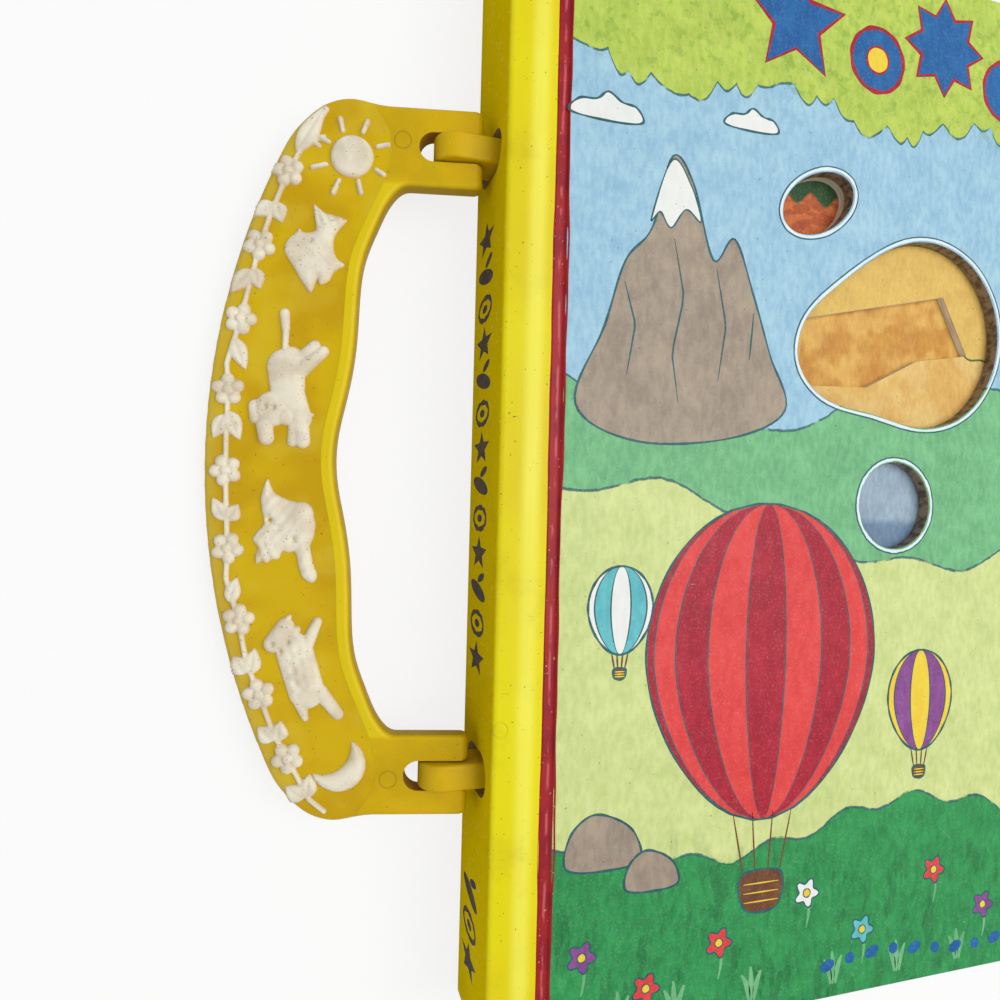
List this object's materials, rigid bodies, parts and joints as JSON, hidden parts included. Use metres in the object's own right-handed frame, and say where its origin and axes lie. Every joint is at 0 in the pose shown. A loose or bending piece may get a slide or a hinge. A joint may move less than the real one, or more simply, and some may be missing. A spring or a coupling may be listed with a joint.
{
  "type": "board book with carry handle",
  "caption": "Large children's board book with a yellow wrapped case, die-cut cover windows and a plastic carry handle hinged on the spine.",
  "frame": {"origin": "middle of the underside of the back cover and spine case together, in the plane the book lies on", "axes": "+Z out of the front cover, +Y towards the head of the book, -X towards the spine and handle"},
  "size_m": [0.2928, 0.275, 0.0288],
  "materials": {
    "yellow_wrap": "gloss laminated",
    "printed_board": "gloss laminated print",
    "yellow_board": "gloss laminated",
    "page_board": "satin printed board",
    "yellow_plastic": "satin moulded",
    "amber_vinyl": "soft translucent",
    "white_vinyl": "soft satin",
    "steel": "plain"
  },
  "bodies": {
    "block": {"page_block": "page_board", "spine_case": "yellow_wrap", "anchor_strip": "yellow_plastic"},
    "front_cover": {"front_cover": "printed_board"},
    "back_cover": {"back_cover": "yellow_board"},
    "handle": {"handle_frame": "yellow_plastic", "handle_inlay": "amber_vinyl", "relief_ornament": "white_vinyl", "hinge_pin_head": "steel", "hinge_pin_foot": "steel"}
  },
  "joints": [
    {"name": "front_cover_hinge", "type": "hinge", "parent": "block", "child": "front_cover", "pos_m": [-0.1004, 0, 0.02905], "axis": [0, -1, 0], "range_deg": [0, 135]},
    {"name": "back_cover_hinge", "type": "hinge", "parent": "block", "child": "back_cover", "pos_m": [-0.1004, 0, -0.00025], "axis": [0, -1, 0], "range_deg": [-135, 0]},
    {"name": "handle_swing", "type": "hinge", "parent": "block", "child": "handle", "pos_m": [-0.1231, 0, 0.0144], "axis": [0, -1, 0], "range_deg": [-78, 54]}
  ]
}
